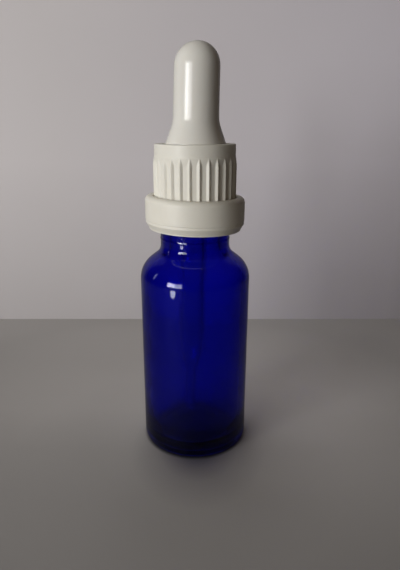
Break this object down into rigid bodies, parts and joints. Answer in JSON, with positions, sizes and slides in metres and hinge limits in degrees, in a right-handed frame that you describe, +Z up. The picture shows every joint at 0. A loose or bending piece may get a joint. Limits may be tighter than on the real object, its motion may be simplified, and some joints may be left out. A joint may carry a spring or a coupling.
{
  "type": "glass dropper bottle",
  "caption": "Small round glass bottle closed by a ribbed screw collar that carries a rubber teat and a glass pipette, with a tamper band on the neck.",
  "frame": {"origin": "centre of the bottle's foot, on the surface that it stands on", "axes": "+Z up along the bottle's axis, through the neck, the pipette and the teat; the piece is round, so +X and +Y are any two level directions"},
  "size_m": [0.0288, 0.0288, 0.1039],
  "materials": {
    "cobalt_glass": "polished cobalt blue glass",
    "white_plastic": "satin white polypropylene",
    "band_plastic": "satin white polypropylene",
    "white_rubber": "semi-gloss white rubber",
    "clear_glass": "polished clear glass"
  },
  "bodies": {
    "bottle": {"bottle": "cobalt_glass"},
    "dropper": {"rubber_teat": "white_rubber", "glass_pipette": "clear_glass"},
    "collar": {"collar": "white_plastic"},
    "tamper_band": {"tamper_band": "band_plastic"}
  },
  "joints": [
    {"name": "dropper_lift", "type": "slide", "parent": "bottle", "child": "dropper", "axis": [0, 0, 1], "range_m": [0, 0.072]},
    {"name": "collar_turn", "type": "hinge", "parent": "dropper", "child": "collar", "pos_m": [0, 0, 0.0746], "axis": [0, 0, 1], "continuous": true},
    {"name": "band_spin", "type": "hinge", "parent": "bottle", "child": "tamper_band", "pos_m": [0, 0, 0.0601], "axis": [0, 0, 1], "continuous": true}
  ],
  "couplings": [
    {"joint": "collar_turn", "follows": "dropper_lift", "rad_per_m": 2094.4}
  ]
}
